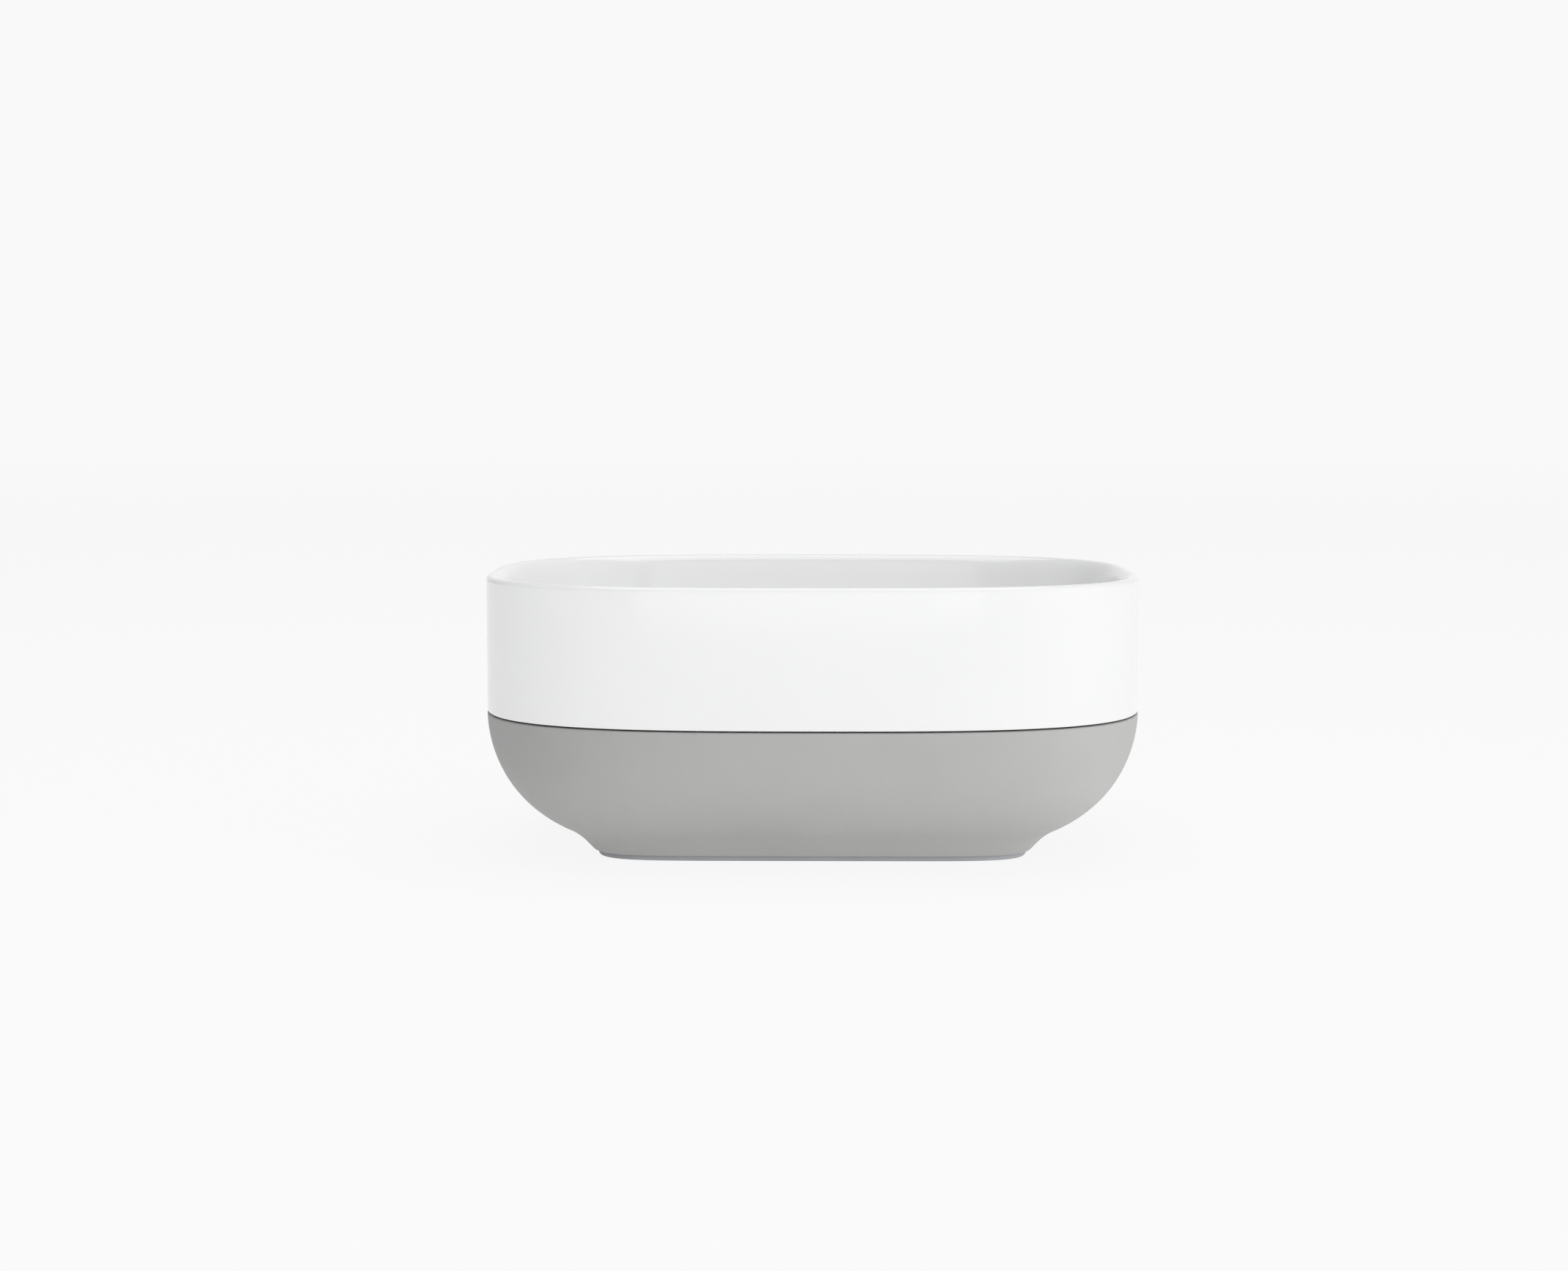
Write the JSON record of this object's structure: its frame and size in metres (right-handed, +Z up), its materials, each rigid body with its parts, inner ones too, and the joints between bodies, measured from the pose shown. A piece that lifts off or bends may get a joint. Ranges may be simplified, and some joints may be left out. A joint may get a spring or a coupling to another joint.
{
  "type": "soap dish",
  "caption": "Compact soap dish: a glossy draining dish with ribs and slots lifts off a matt water tray that stands on a non-slip foot ring.",
  "frame": {"origin": "centre of the footprint, on the surface that the dish stands on", "axes": "+X along the length, +Y across the width towards the back, +Z up"},
  "size_m": [0.115, 0.082, 0.049],
  "materials": {
    "white_gloss_plastic": "moulded, glossy white",
    "grey_matt_plastic": "moulded, fine matt grey",
    "dark_elastomer": "matt non-slip elastomer"
  },
  "bodies": {
    "base": {"lower_tray": "grey_matt_plastic", "foot_ring": "dark_elastomer"},
    "dish": {"upper_dish": "white_gloss_plastic"}
  },
  "joints": [
    {"name": "dish_lift", "type": "slide", "parent": "base", "child": "dish", "axis": [0, 0, 1], "range_m": [0, 0.06]}
  ]
}
